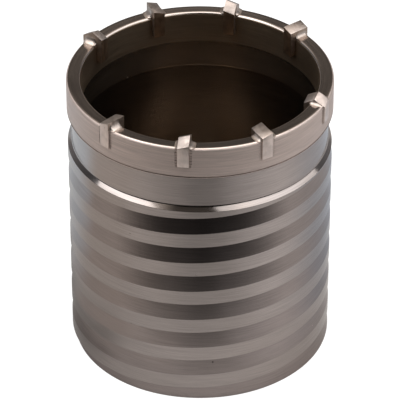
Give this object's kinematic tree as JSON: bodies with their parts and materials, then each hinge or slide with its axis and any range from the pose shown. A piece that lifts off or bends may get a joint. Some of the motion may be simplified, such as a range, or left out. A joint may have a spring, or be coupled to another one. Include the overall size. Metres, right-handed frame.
{
  "type": "core drill bit",
  "caption": "Round cup-shaped core drill bit with a spiral dust groove round its wall, a plain neck and a crown ring with brazed carbide tips standing over the rim.",
  "frame": {"origin": "centre of the base's underside, on the axis that the bit turns about", "axes": "+Z along the axis, from the closed base to the cutting tips; -Y is the side that faces the camera in the picture, and +X is to its right"},
  "size_m": [0.089, 0.0894, 0.1061],
  "materials": {
    "cup_steel": "satin nickel plate over turned steel",
    "ring_steel": "satin nickel plate over turned steel",
    "carbide": "ground tungsten carbide",
    "braze": "bright rippled silver braze"
  },
  "bodies": {
    "root": {"cup_body": "cup_steel", "crown_ring": "ring_steel", "carbide_tip_1": "carbide", "carbide_tip_2": "carbide", "carbide_tip_3": "carbide", "carbide_tip_4": "carbide", "carbide_tip_5": "carbide", "carbide_tip_6": "carbide", "carbide_tip_7": "carbide", "carbide_tip_8": "carbide", "braze_seam_1": "braze", "braze_seam_2": "braze", "braze_seam_3": "braze", "braze_seam_4": "braze", "braze_seam_5": "braze", "braze_seam_6": "braze", "braze_seam_7": "braze", "braze_seam_8": "braze"}
  },
  "joints": []
}
